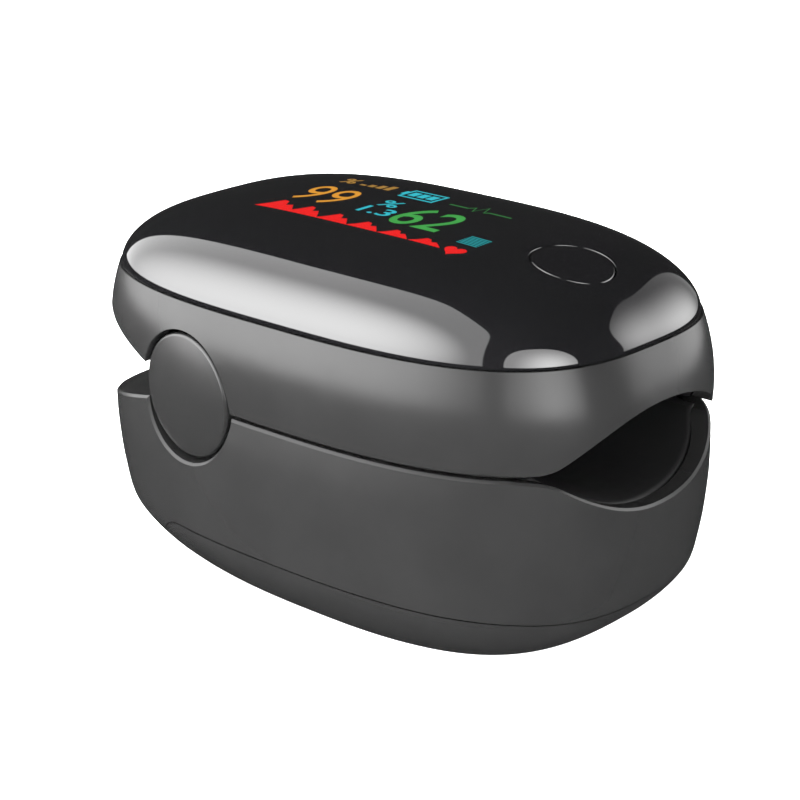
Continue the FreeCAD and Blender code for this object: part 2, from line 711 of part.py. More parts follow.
doc.recompute()
for item in doc.Objects:
    if any(word in item.State for word in ("Invalid", "Error")):
        raise RuntimeError(f"{item.Label} failed to recompute")
for item in subparts:
    if item.Shape.isNull() or not item.Shape.isValid():
        raise RuntimeError(f"{item.Label} has no valid shape")

os.makedirs("parts", exist_ok=True)
for item in subparts:
    item.Shape.exportStep(f"parts/{item.Label}.step")
    reach = item.Shape.BoundBox
    print(f"{item.Label}: {len(item.Shape.Solids)} solid(s), {item.Shape.Volume:.1f} mm3, "
          f"{reach.XLength:.2f} x {reach.YLength:.2f} x {reach.ZLength:.2f} mm")
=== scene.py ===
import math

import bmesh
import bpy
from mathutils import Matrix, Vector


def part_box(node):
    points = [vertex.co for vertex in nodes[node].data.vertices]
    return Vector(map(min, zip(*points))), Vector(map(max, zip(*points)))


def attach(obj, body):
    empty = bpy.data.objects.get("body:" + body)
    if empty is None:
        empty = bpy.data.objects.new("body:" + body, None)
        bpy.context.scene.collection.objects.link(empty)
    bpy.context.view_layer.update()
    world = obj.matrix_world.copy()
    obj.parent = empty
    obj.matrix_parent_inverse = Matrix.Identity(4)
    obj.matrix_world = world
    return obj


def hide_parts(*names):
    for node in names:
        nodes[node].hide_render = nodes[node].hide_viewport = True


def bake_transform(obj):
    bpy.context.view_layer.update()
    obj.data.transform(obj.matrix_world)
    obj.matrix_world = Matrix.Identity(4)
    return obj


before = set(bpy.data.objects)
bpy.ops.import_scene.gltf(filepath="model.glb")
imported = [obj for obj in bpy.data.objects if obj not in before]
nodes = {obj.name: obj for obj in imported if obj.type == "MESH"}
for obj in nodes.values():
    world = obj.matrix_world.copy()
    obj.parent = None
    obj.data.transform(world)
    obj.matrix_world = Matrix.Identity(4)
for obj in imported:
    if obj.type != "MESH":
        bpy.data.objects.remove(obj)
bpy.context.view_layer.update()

# %% [markdown]
# # Fingertip pulse oximeter
#
# Two jaws of satin grey plastic turn on a hinge at their sides and close on a finger. A polished
# black cover lies over a small colour display, with one round power button in front of it, and
# two AAA cells lie behind a sliding cover underneath.
#
# The frame already holds every part at its real size and place. This lesson gives the parts their
# finishes, replaces the ones whose looks need a finer surface than the frame has, draws what the
# display shows, and lights it all like a product on a table.

MM = 0.001
print("parts in the frame:", len(nodes))

# %% [markdown]
# ## Colour and nodes
# A finish is a small network of nodes. One function adds a node with its settings and its links, so
# each network below reads from top to bottom. Colours are given as a screen shows them, and one
# function turns them into the linear values that light adds up in.

# %% Colour and node helpers
def linear(hex_colour):
    """An sRGB hex colour as linear red, green, blue and alpha."""
    parts = [int(hex_colour[k:k + 2], 16) / 255 for k in (1, 3, 5)]
    return [c / 12.92 if c <= 0.04045 else ((c + 0.055) / 1.055) ** 2.4 for c in parts] + [1.0]


def add_node(tree, kind, settings=None, links=None):
    """Add a node, set its properties or sockets, and link its inputs from other nodes' outputs."""
    node = tree.nodes.new(kind)
    for name, value in (settings or {}).items():
        if isinstance(name, int) or name in node.inputs:
            node.inputs[name].default_value = value
        else:
            setattr(node, name, value)
    for name, source in (links or {}).items():
        tree.links.new(source, node.inputs[name])
    return node


def finish_of(name, shader):
    """A new material whose Principled shader has the given constant values."""
    material = bpy.data.materials.new(name)
    material.use_nodes = True
    tree = material.node_tree
    principled = tree.nodes["Principled BSDF"]
    for socket, value in shader.items():
        principled.inputs[socket].default_value = value
    return material, tree, principled


def grain(tree, spacing_mm, detail=2.0, stretch=(1, 1, 1)):
    """Noise in the object's own space, with one blob per spacing."""
    place = add_node(tree, "ShaderNodeTexCoord")
    scaled = add_node(tree, "ShaderNodeMapping", {"Scale": stretch}, {"Vector": place.outputs["Object"]})
    return add_node(tree, "ShaderNodeTexNoise",
                    {"Scale": 1 / (spacing_mm * MM), "Detail": detail},
                    {"Vector": scaled.outputs["Vector"]}).outputs["Fac"]


def spread(tree, source, low, high, from_low=0.3, from_high=0.7):
    """A texture's value, carried over to another range."""
    return add_node(tree, "ShaderNodeMapRange",
                    {"From Min": from_low, "From Max": from_high, "To Min": low, "To Max": high},
                    {"Value": source}).outputs[0]


def two_tones(tree, source, dark, light):
    """A colour that varies between two hex tones with a texture."""
    mix = add_node(tree, "ShaderNodeMix", {"data_type": "RGBA", 6: linear(dark), 7: linear(light)},
                   {0: spread(tree, source, 0, 1)})
    return mix.outputs[2]


def relief(tree, shader, source, depth_mm):
    """Raise the surface by a texture: depth is from its lowest to its highest value."""
    bump = add_node(tree, "ShaderNodeBump", {"Distance": depth_mm * MM}, {"Height": source})
    tree.links.new(bump.outputs["Normal"], shader.inputs["Normal"])


print("mid grey #808080 is", round(linear("#808080")[0], 3), "in linear light")


# %% [markdown]
# ## Moulded finishes
# Nearly every part here comes out of a steel mould, and its finish is a copy of the mould's. The
# jaws' mould is blasted with fine beads, which gives a satin surface: grains of about a tenth of
# a millimetre and a gloss that is not quite even. The same function with coarser grains makes the
# spark-eroded black of the hidden parts, the matt silicone of the finger pads and the epoxy of the
# chips. Two close tones, a few millimetres apart, keep any of them from looking flat.

# %% Moulded finishes
def moulded(name, dark, light, roughness, grain_mm, depth_mm, shader_values=None):
    """A moulded surface: two close tones, fine grains and a slightly uneven gloss."""
    material, tree, shader = finish_of(name, {"IOR": 1.5, **(shader_values or {})})
    tree.links.new(two_tones(tree, grain(tree, 8.0, 3.0), dark, light), shader.inputs["Base Color"])
    tree.links.new(spread(tree, grain(tree, 2.5), roughness * 0.95, roughness * 1.05),
                   shader.inputs["Roughness"])
    relief(tree, shader, grain(tree, grain_mm), depth_mm)
    return material


matted = {"IOR": 1.46, "Specular IOR Level": 0.26}
satin_abs = moulded("satin_abs_gunmetal", "#1e1e1e", "#212121", 0.25, 0.12, 0.0012, matted)
cap_abs = moulded("satin_abs_cap", "#1c1c1c", "#1e1e1e", 0.26, 0.12, 0.0010, {"Specular IOR Level": 0.36})
eroded_abs = moulded("spark_eroded_abs_black", "#0d0d0e", "#121213", 0.62, 0.18, 0.006)
silicone = moulded("silicone_rubber_black", "#09090a", "#0c0c0d", 0.58, 0.09, 0.003, {"IOR": 1.41})
epoxy = moulded("moulded_epoxy", "#17171a", "#1f1f22", 0.55, 0.10, 0.004, {"IOR": 1.55})
white_pbt = moulded("white_pbt", "#e4e2dc", "#eeece6", 0.40, 0.15, 0.002)
print("moulded finishes:", [m.name for m in (satin_abs, cap_abs, eroded_abs, silicone, epoxy, white_pbt)])

# %% [markdown]
# ## Polished black
# The cover is polycarbonate with a smoke tint, from a mould polished like a mirror. What shows on
# it is what stands around it. Real mouldings have a trace of orange peel, waves a few millimetres
# long and a few ten-thousandths of a millimetre high, and a little dust-fine variation of gloss.

# %% Polished black
polished_pc, tree, shader = finish_of("polished_polycarbonate_smoke", {"IOR": 1.585})
tree.links.new(two_tones(tree, grain(tree, 6.0), "#0d0d0e", "#0f0f10"), shader.inputs["Base Color"])
tree.links.new(spread(tree, grain(tree, 3.0, 4.0), 0.035, 0.055), shader.inputs["Roughness"])
relief(tree, shader, grain(tree, 4.0), 0.0006)
print("polished finish:", polished_pc.name)

# %% [markdown]
# ## Metals
# Springs and axle are drawn and turned steel: fine lines run along the wire or round the pin, so the
# noise is stretched. The battery contacts are spring steel with bright nickel, and the cans of the
# cells are the same under a printed sleeve.

# %% Metals
def metal(name, dark, light, roughness, line_mm, stretch, depth_mm):
    """Bare or plated metal with fine drawn lines; the stretch is smallest along the lines."""
    material, tree, shader = finish_of(name, {"Metallic": 1.0})
    lines = grain(tree, line_mm, 3.0, stretch)
    tree.links.new(two_tones(tree, lines, dark, light), shader.inputs["Base Color"])
    tree.links.new(spread(tree, grain(tree, 1.2, 3.0), roughness * 0.8, roughness * 1.2),
                   shader.inputs["Roughness"])
    relief(tree, shader, lines, depth_mm)
    return material


spring_steel = metal("drawn_spring_steel", "#8f9093", "#a9aaad", 0.30, 0.08, (1, 0.15, 1), 0.001)
turned_steel = metal("turned_steel", "#a0a1a4", "#b6b7ba", 0.24, 0.06, (1, 0.2, 0.2), 0.001)
nickel = metal("bright_nickel", "#c6c2ba", "#d6d2ca", 0.16, 0.15, (1, 1, 0.3), 0.0006)
print("metals:", spring_steel.name, turned_steel.name, nickel.name)

# %% [markdown]
# ## Cell sleeve
# An AAA cell wears a shrunk, printed sleeve. This one is generic: dark blue with a copper band at the
# positive end and a thin light line between the two. The bands follow the height along the cell, so
# they are rings wherever the cell lies.

# %% Cell sleeve
CELL_LENGTH = 43.7
sleeve, tree, shader = finish_of("printed_pvc_sleeve", {"IOR": 1.53})
height = add_node(tree, "ShaderNodeSeparateXYZ", None,
                  {"Vector": add_node(tree, "ShaderNodeTexCoord").outputs["Object"]}).outputs["Z"]
bands = add_node(tree, "ShaderNodeValToRGB", None,
                 {"Fac": spread(tree, height, 0, 1, 0, CELL_LENGTH * MM)})
bands.color_ramp.interpolation = "CONSTANT"
bands.color_ramp.elements[0].color = linear("#1d2c4c")
bands.color_ramp.elements[1].position = 0.70
bands.color_ramp.elements[1].color = linear("#d9d6cf")
copper = bands.color_ramp.elements.new(0.715)
copper.color = linear("#a9683c")
worn = add_node(tree, "ShaderNodeMix", {"data_type": "RGBA", 0: 0.12},
                {6: bands.outputs["Color"], 7: two_tones(tree, grain(tree, 1.5, 4.0), "#20242c", "#b9bcc4")})
tree.links.new(worn.outputs[2], shader.inputs["Base Color"])
tree.links.new(spread(tree, grain(tree, 4.0), 0.26, 0.36), shader.inputs["Roughness"])
relief(tree, shader, grain(tree, 3.0), 0.01)
print("sleeve finish:", sleeve.name)

# %% [markdown]
# ## Boards and ribbon
# A printed board is glass cloth under green solder mask. The copper tracks are raised by a few
# hundredths of a millimetre under it and look lighter. Tracks run in straight lines on a grid, which
# a brick texture draws well. The ribbon behind the hinge is amber polyimide with copper lines along
# its length, half a millimetre apart.

# %% Boards and ribbon
solder_mask, tree, shader = finish_of("solder_mask_green", {"IOR": 1.5})
place = add_node(tree, "ShaderNodeTexCoord").outputs["Object"]
tracks = add_node(tree, "ShaderNodeTexBrick",
                  {"Scale": 1 / MM, "Brick Width": 2.4, "Row Height": 0.6, "Mortar Size": 0.07,
                   "Color1": linear("#0d4526"), "Color2": linear("#0f4c2a"), "Mortar": linear("#2b7a48")},
                  {"Vector": place})
tree.links.new(tracks.outputs["Color"], shader.inputs["Base Color"])
tree.links.new(spread(tree, grain(tree, 0.8), 0.28, 0.40), shader.inputs["Roughness"])
relief(tree, shader, tracks.outputs["Fac"], 0.03)

polyimide, tree, shader = finish_of("polyimide_ribbon", {"IOR": 1.7})
place = add_node(tree, "ShaderNodeTexCoord").outputs["Object"]
lines = add_node(tree, "ShaderNodeTexWave", {"bands_direction": "X", "Scale": math.pi / 10 / (0.5 * MM)},
                 {"Vector": place}).outputs["Fac"]
tree.links.new(two_tones(tree, lines, "#8a4a14", "#c07a3c"), shader.inputs["Base Color"])
tree.links.new(spread(tree, grain(tree, 1.0), 0.25, 0.38), shader.inputs["Roughness"])
relief(tree, shader, lines, 0.02)
print("board and ribbon finishes:", solder_mask.name, polyimide.name)

# %% [markdown]
# ## Windows and glass
# Red and infrared light reach the finger through two clear windows tinted red. The display's
# glass is dark and smooth when seen from the side. Both vary a little in tint, as real casts do.

# %% Windows and glass
red_window, tree, shader = finish_of("red_tinted_acrylic", {"IOR": 1.49, "Transmission Weight": 0.55})
tree.links.new(two_tones(tree, grain(tree, 2.0), "#7d1712", "#8e1f18"), shader.inputs["Base Color"])
tree.links.new(spread(tree, grain(tree, 1.0), 0.06, 0.12), shader.inputs["Roughness"])

display_glass, tree, shader = finish_of("display_glass_dark", {"IOR": 1.52})
tree.links.new(two_tones(tree, grain(tree, 5.0), "#08080c", "#0c0c12"), shader.inputs["Base Color"])
tree.links.new(spread(tree, grain(tree, 2.0), 0.03, 0.06), shader.inputs["Roughness"])
print("window finishes:", red_window.name, display_glass.name)

# %% [markdown]
# ## Finishes on the parts of the frame
# Each part of the frame takes the finish of what it is made of.

# %% Finishes on the frame
FINISH = {
    "lower_shell": satin_abs, "upper_shell": satin_abs, "battery_cover": satin_abs,
    "top_cover": polished_pc, "power_button": polished_pc,
    "hinge_cap_left": cap_abs, "hinge_cap_right": cap_abs,
    "lower_cradle": eroded_abs, "upper_cradle": eroded_abs, "battery_tray": eroded_abs,
    "lower_pad": silicone, "upper_pad": silicone,
    "hinge_axle": turned_steel, "lower_screws": turned_steel, "upper_screws": turned_steel,
    "jaw_spring_left": spring_steel, "jaw_spring_right": spring_steel,
    "contact_bridge": nickel, "contact_plates": nickel, "contact_springs": nickel, "switch_body": nickel,
    "battery_left": sleeve, "battery_right": sleeve,
    "main_board": solder_mask, "sensor_board": solder_mask,
    "processor_chip": epoxy, "memory_chip": epoxy, "buzzer": epoxy, "photodiode": epoxy,
    "display_frame": white_pbt, "flex_connector": white_pbt, "led_emitter": white_pbt,
    "switch_plunger": white_pbt, "sensor_window": red_window, "led_window": red_window,
    "display_panel": display_glass, "flex_cable": polyimide,
}
for name, item in nodes.items():
    for slot in item.material_slots:
        slot.material = FINISH[name]
print("parts with a finish:", len(FINISH))

# %% [markdown]
# ## Pieces made of rings
# The finer pieces are all skins over a row of rings: a turned part has round rings, a spring has rings
# along its wire, a cover has rings round its button hole. One function joins ring to ring and closes
# the ends, or joins the last ring to the first where the skin runs back into itself.

# %% Skins over rings
def skin(name, rings, finish, joined=False, sharp=40):
    """A closed mesh over rings of points in millimetres; every ring has as many points."""
    edit = bmesh.new()
    rows = [[edit.verts.new(Vector(point) * MM) for point in ring] for ring in rings]
    pairs = list(zip(rows, rows[1:])) + ([(rows[-1], rows[0])] if joined else [])
    for first, second in pairs:
        for k in range(len(first)):
            after = (k + 1) % len(first)
            edit.faces.new((first[k], first[after], second[after], second[k]))
    if not joined:
        edit.faces.new(rows[0])
        edit.faces.new(rows[-1])
    bmesh.ops.recalc_face_normals(edit, faces=edit.faces)
    mesh = bpy.data.meshes.new(name)
    edit.to_mesh(mesh)
    edit.free()
    mesh.shade_smooth()
    mesh.set_sharp_from_angle(angle=math.radians(sharp))
    mesh.materials.append(finish)
    piece = bpy.data.objects.new(name, mesh)
    bpy.context.collection.objects.link(piece)
    return piece


def settle(piece, body, slot, *replaced):
    """Let a piece ride on a body, and let it stand for parts of the frame; the slot is not used."""
    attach(piece, body)
    if replaced:
        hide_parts(*replaced)
    return piece


def bend_across(piece, replaced):
    """Fix a piece where it lies, following neither jaw, and hide the part of the frame it replaces."""
    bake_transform(piece)
    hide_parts(replaced)


def turned(profile, count, place=Matrix()):
    """Rings of a turned piece about Z from (radius, height) pairs, moved by a matrix."""
    rings = []
    for radius, height in profile:
        turns = [2 * math.pi * k / count for k in range(count)]
        rings.append([place @ Vector((radius * math.cos(t), radius * math.sin(t), height)) for t in turns])
    return rings


def wire(path, radius, count=12):
    """Rings of a round wire along a smooth path of points."""
    rings = []
    side = None
    for k, point in enumerate(path):
        ahead = (path[min(k + 1, len(path) - 1)] - path[max(k - 1, 0)]).normalized()
        if side is None:
            side = ahead.orthogonal().normalized()
        side = (side - ahead * side.dot(ahead)).normalized()
        other = ahead.cross(side)
        turns = [2 * math.pi * n / count for n in range(count)]
        rings.append([point + radius * (math.cos(t) * side + math.sin(t) * other) for t in turns])
    return rings


def middle_of(node):
    """The middle of a part's box in millimetres."""
    low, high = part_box(node)
    return (low + high) / 2 / MM


print("hinge axle at", [round(c, 2) for c in middle_of("hinge_axle")], "mm")


# %% [markdown]
# ## The cover
# The cover is a squared oval dome: steep at its rim and nearly flat on top. Its height follows from
# how far out a point lies, as a share of the outline. A polished surface shows every ripple in its
# reflections, so the skin comes straight from the formula. The rings start round the button's hole and
# spread out to the rim, then run back inside, so the cover has its real wall and its real hole.
# The edge of the hole is rounded by a tenth of a millimetre, which is what draws the thin bright ring.

# %% Cover
cover_low, cover_high = (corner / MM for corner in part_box("top_cover"))
COVER_HALF_WIDTH, COVER_HALF_LENGTH = cover_high.x, cover_high.y
COVER_TOP = cover_high.z - 0.03
RIM_HEIGHT = cover_low.z
SQUARENESS = 2.96
COVER_WALL = 1.25
BUTTON_RADIUS = 3.67
BUTTON_GAP = 0.12
BUTTON_LEAN = math.radians(11.2)
BUTTON_Y = -19.9
HOLE_ROUNDING = 0.12
COVER_STEPS = 90


def dome(x, y, inset=0.0):
    """Height of the cover over a point, or of its inner side."""
    out = (abs(x / (COVER_HALF_WIDTH - inset)) ** SQUARENESS
           + abs(y / (COVER_HALF_LENGTH - inset)) ** SQUARENESS) ** (1 / SQUARENESS)
    fall = max(0.0, 1 - out ** 4) ** 0.565
    return RIM_HEIGHT + (COVER_TOP - RIM_HEIGHT) * fall - inset * min(1.0, 3 * fall)


def outline(direction, inset):
    """Where a ray from the button's middle leaves the cover's outline."""
    near, far = 0.0, 80.0
    for _ in range(50):
        reach = (near + far) / 2
        x, y = reach * direction.x, BUTTON_Y + reach * direction.y
        out_x = abs(x / (COVER_HALF_WIDTH - inset)) ** SQUARENESS
        out_y = abs(y / (COVER_HALF_LENGTH - inset)) ** SQUARENESS
        near, far = (reach, far) if out_x + out_y < 1 else (near, reach)
    return near


BUTTON_MIDDLE = Vector((0, BUTTON_Y, dome(0, BUTTON_Y)))
BUTTON_FACING = Vector((0, -math.sin(BUTTON_LEAN), math.cos(BUTTON_LEAN)))
BUTTON_BACK = Vector((0, math.cos(BUTTON_LEAN), math.sin(BUTTON_LEAN)))
ROUND = [2 * math.pi * k / 288 for k in range(288)]
QUARTER = (0.0, 0.4, 0.8, 1.2, math.pi / 2)


def beside_button(turn, radius, depth):
    """A point round the button's axis, so far below the cover's surface."""
    point = BUTTON_MIDDLE + radius * (math.cos(turn) * Vector((1, 0, 0)) + math.sin(turn) * BUTTON_BACK)
    point.z = dome(point.x, point.y)
    return point - BUTTON_FACING * depth


def cover_rings():
    hole = BUTTON_RADIUS + BUTTON_GAP
    outer, inner = [], []
    for step in range(1, COVER_STEPS + 1):
        share = 1 - (1 - step / COVER_STEPS) ** 2.2
        for rings, inset in ((outer, 0.0), (inner, COVER_WALL)):
            ring = []
            for turn in ROUND:
                start = beside_button(turn, hole + HOLE_ROUNDING, 0)
                ray = Vector((math.cos(turn), math.sin(turn), 0))
                start_reach = math.hypot(start.x, start.y - BUTTON_Y)
                reach = start_reach + (outline(ray, inset) - start_reach) * share
                x, y = reach * ray.x, BUTTON_Y + reach * ray.y
                ring.append(Vector((x, y, dome(x, y, inset))))
            rings.append(ring)
    edge = []
    for bend in QUARTER:
        radius, depth = hole + HOLE_ROUNDING * (1 - math.sin(bend)), HOLE_ROUNDING * (1 - math.cos(bend))
        edge.append([beside_button(turn, radius, depth) for turn in ROUND])
    wall = [[beside_button(turn, hole, depth) for turn in ROUND] for depth in (0.4, 1.1)]
    return list(reversed(edge + wall)) + outer + list(reversed(inner))


cover = settle(skin("gloss_cover", cover_rings(), polished_pc, joined=True), "upper_jaw", "cover_black",
               "top_cover")
print("cover faces:", len(cover.data.polygons))

# %% [markdown]
# ## The power button
# The button is one moulding: a round cap that continues the cover's curve, a flange that keeps it in,
# and a stem that reaches the switch on the board. It stands a hair below the cover, and its edge is
# rounded like the hole's, so a dark ring with two bright lines shows where they meet.

# %% Power button
BUTTON_SUNK = 0.02
BUTTON_ROUNDING = 0.14
BUTTON_FACE = (0.3, 0.9, 1.6, 2.3, 2.9, 3.3)


def button_rings():
    rings = [[beside_button(turn, radius, BUTTON_SUNK) for turn in ROUND] for radius in BUTTON_FACE]
    for bend in QUARTER:
        radius = BUTTON_RADIUS - BUTTON_ROUNDING * (1 - math.sin(bend))
        depth = BUTTON_SUNK + BUTTON_ROUNDING * (1 - math.cos(bend))
        rings.append([beside_button(turn, radius, depth) for turn in ROUND])
    side = Matrix.Translation(BUTTON_MIDDLE) @ BUTTON_FACING.to_track_quat("Z", "Y").to_matrix().to_4x4()
    lower = ((BUTTON_RADIUS, -1.85), (BUTTON_RADIUS + 0.02, -1.9), (4.35, -1.9), (4.4, -1.95), (4.4, -2.35),
             (4.35, -2.4), (1.15, -2.4), (1.1, -2.45), (1.1, -4.1), (1.0, -4.15))
    start = side.to_3x3() @ Vector((1, 0, 0))
    offset = math.atan2(start.dot(BUTTON_BACK), start.x)
    for radius, height in lower:
        spots = [(radius * math.cos(turn - offset), radius * math.sin(turn - offset)) for turn in ROUND]
        rings.append([side @ Vector((x, y, height)) for x, y in spots])
    return rings


button = settle(skin("button_cap", button_rings(), polished_pc), "button", "button_black", "power_button")
print("button faces:", len(button.data.polygons))

# %% [markdown]
# ## The finger pads
# Each jaw holds a half-tube of soft silicone, closed at its rear end as the finger's stop. It is
# moulded in one go, so every edge is rounded: the front lip, the corner at the stop, the rim of the
# window. Every column of the skin runs from the lip to the stop, up the stop's wall, over it and back
# along the outside.

# %% Finger pads
CHAMBER_HALF = 11.5
CHAMBER_END = 5.0
PAD_WALL = 1.2
SEAM = 21.83


def pad_column(across, top_side, low, high, parting):
    """One closed column of points of a pad, at a share across the opening."""
    power, blend = (2.2, 0.87) if top_side else (2.0, 0.9)
    toward = 1 if top_side else -1
    rise = abs((high.z if top_side else low.z) - SEAM) - PAD_WALL
    room = abs(parting - SEAM)
    sides = []
    for grow in (0.0, PAD_WALL):
        limit = (1 - (room / (rise + grow)) ** (1 / blend)) ** (1 / power)
        share = across * limit
        swell = (1 - abs(share) ** power) ** blend
        sides.append(Vector(((CHAMBER_HALF + grow) * share, 0, SEAM + toward * (rise + grow) * swell)))
    inner, outer = sides
    front = low.y * (1 - abs(inner.x / 17.0) ** 2.8) ** (1 / 2.8) + 0.15

    def at(y, depth, height=None):
        point = inner.lerp(outer, depth)
        return Vector((point.x, y, point.z if height is None else height))

    column = [at(front + 0.28, 0.03), at(front + 0.6, 0)]
    column += [at(front + 0.6 + (CHAMBER_END - 1.2 - front - 0.6) * k / 16, 0) for k in range(1, 17)]
    climb = abs(parting - inner.z)
    corner = min(1.1, climb)
    for bend in (0.3, 0.6, 0.9, 1.2, math.pi / 2):
        column.append(at(CHAMBER_END - corner * (1 - math.sin(bend)), 0,
                         inner.z - toward * corner * (1 - math.cos(bend))))
    for k in range(1, 7):
        column.append(at(CHAMBER_END, 0, inner.z - toward * (corner + (climb - corner) * k / 6)))
    rear = CHAMBER_END + PAD_WALL
    column += [at(rear - 0.02, 0, parting), at(rear, 0.05, parting + toward * 0.05)]
    climb = abs(parting - outer.z)
    column += [at(rear, 1, outer.z - toward * climb * (1 - k / 6)) for k in range(1, 7)]
    column += [at(rear + (front + 0.6 - rear) * k / 16, 1) for k in range(1, 17)]
    return column + [at(front + 0.28, 0.97), at(front + 0.08, 0.82), at(front, 0.5), at(front + 0.08, 0.18)]


def cut_window(piece, node):
    """Cut a rounded hole through a pad, a little larger than the window in it."""
    low, high = (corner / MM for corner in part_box(node))
    middle = (low + high) / 2
    rings = []
    for height in (low.z - 3, high.z + 3):
        ring = []
        for k in range(48):
            turn = 2 * math.pi * k / 48
            reach = (abs(math.cos(turn)) ** 8 + abs(math.sin(turn)) ** 8) ** (-1 / 8)
            ring.append(Vector((middle.x + 3.05 * math.cos(turn) * reach,
                                middle.y + 4.05 * math.sin(turn) * reach, height)))
        rings.append(ring)
    cutter = skin(piece.name + "_cutter", rings, silicone)
    cut = piece.modifiers.new("window", "BOOLEAN")
    cut.object = cutter
    cut.operation = "DIFFERENCE"
    cut.solver = "EXACT"
    bpy.context.view_layer.update()
    graph = bpy.context.evaluated_depsgraph_get()
    mesh = bpy.data.meshes.new_from_object(piece.evaluated_get(graph))
    piece.modifiers.clear()
    piece.data = mesh
    bpy.data.objects.remove(cutter)
    mesh.shade_smooth()
    mesh.set_sharp_from_angle(angle=math.radians(50))


def finger_pad(name, node, window, top_side, body):
    low, high = (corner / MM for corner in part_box(node))
    parting = low.z if top_side else high.z
    shares = [math.sin(math.pi / 2 * k / 36) for k in range(-36, 37)]
    columns = [pad_column(share, top_side, low, high, parting) for share in shares]
    pad = skin(name, columns, silicone, sharp=60)
    cut_window(pad, window)
    return settle(pad, body, "pad_silicone", node)


lower_liner = finger_pad("finger_liner_lower", "lower_pad", "sensor_window", False, "lower_jaw")
upper_liner = finger_pad("finger_liner_upper", "upper_pad", "led_window", True, "upper_jaw")
print("pad faces:", len(lower_liner.data.polygons), len(upper_liner.data.polygons))

# %% [markdown]
# ## Springs
# Two torsion springs sit on the axle. Each is one piece of wire: a leg along the lower jaw's rear, four
# and a half turns round the axle, and a leg along the upper jaw's. The legs push the rear ends apart,
# so the front closes. Opening the jaws winds the coil up, but here each spring is drawn once, as it lies
# at rest, and stays where it is when the jaws move. The contact springs are small cones of thinner wire.

# %% Springs
def coil(turn_count, start_turn, radius_at, height_at, steps=28):
    """Points of a coil: its angle, then its radius and height by a share from 0 to 1."""
    points = []
    for k in range(int(turn_count * steps) + 1):
        share = k / (turn_count * steps)
        turn = start_turn - 2 * math.pi * turn_count * share
        radius = radius_at(share)
        points.append(Vector((radius * math.cos(turn), radius * math.sin(turn), height_at(share))))
    return points


HINGE = middle_of("hinge_axle")
SPRING_RADIUS, SPRING_WIRE, SPRING_LEG = 2.7, 0.4, 5.4
for side, label in ((-1, "left"), (1, "right")):
    low, high = (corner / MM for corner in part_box("jaw_spring_" + label))
    near, far = sorted((abs(low.x) - SPRING_WIRE, abs(high.x) - SPRING_WIRE))
    turns = coil(4.5, -math.pi / 2, lambda share: SPRING_RADIUS,
                 lambda share: side * (near + (far - near) * share))
    path = [Vector((p.z, HINGE.y + p.x, HINGE.z + p.y)) for p in turns]
    first = [path[0] + Vector((0, SPRING_LEG * k / 4, 0)) for k in (4, 3, 2, 1)]
    last = [path[-1] + Vector((0, SPRING_LEG * k / 4, 0)) for k in (1, 2, 3, 4)]
    spring = skin("torsion_spring_" + label, wire(first + path + last, SPRING_WIRE - 0.01), spring_steel)
    bend_across(spring,
                "jaw_spring_" + label)

plate_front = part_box("contact_bridge")[0].y / MM + 0.32
plate_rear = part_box("contact_plates")[1].y / MM - 0.32
CELL_SIDE = abs(middle_of("battery_right").x)
CELL_HEIGHT = middle_of("battery_right").z
cones = []
for x, y, toward in ((-CELL_SIDE, plate_front, 1), (CELL_SIDE, plate_rear, -1)):
    turns = coil(2.75, 0, lambda share: 2.4 - 0.9 * share, lambda share: 0.18 + 0.95 * share)
    path = [Vector((x + p.x, y + toward * p.z, CELL_HEIGHT + p.y)) for p in turns]
    cones.append(skin(f"contact_coil_{len(cones) + 1}", wire(path, 0.16, 10), nickel))
    settle(cones[-1], "lower_jaw", "contact_metal")
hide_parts("contact_springs")
print("springs:", 2 + len(cones))

# %% [markdown]
# ## The ribbon
# A flat ribbon carries the sensor's signal past the hinge to the main board. It bends as the jaws
# open; here it is drawn in short steps as it lies at rest, and stays where it is when the jaws move.

# %% Ribbon
ribbon_low, ribbon_high = (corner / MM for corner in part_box("flex_cable"))
RIBBON_THICKNESS, RIBBON_BEND = 0.15, 0.8
ribbon_path = [Vector((0, ribbon_low.y + (ribbon_high.y - RIBBON_BEND - ribbon_low.y) * k / 12, ribbon_low.z))
               for k in range(12)]
for k in range(9):
    bend = math.pi / 2 * k / 8
    ribbon_path.append(Vector((0, ribbon_high.y - RIBBON_BEND * (1 - math.sin(bend)),
                               ribbon_low.z + RIBBON_BEND * (1 - math.cos(bend)))))
climb = ribbon_high.z - ribbon_low.z - RIBBON_BEND
ribbon_path += [Vector((0, ribbon_high.y, ribbon_high.z - climb + climb * k / 16)) for k in range(1, 17)]
ribbon_rings = []
for k, point in enumerate(ribbon_path):
    ahead = (ribbon_path[min(k + 1, len(ribbon_path) - 1)] - ribbon_path[max(k - 1, 0)]).normalized()
    inward = Vector((0, -ahead.z, ahead.y)) * RIBBON_THICKNESS
    half = Vector((ribbon_high.x, 0, 0))
    ribbon_rings.append([point - half, point + half, point + half + inward, point - half + inward])
bend_across(skin("sensor_ribbon", ribbon_rings, polyimide),
            "flex_cable")
print("ribbon steps:", len(ribbon_path))

# %% [markdown]
# ## The cells
# A cell is a drawn can, crimped over a seal at its positive end, with the nub pressed out of its cap.
# The sleeve folds over both ends. One profile is turned for both cells, and they lie head to tail.

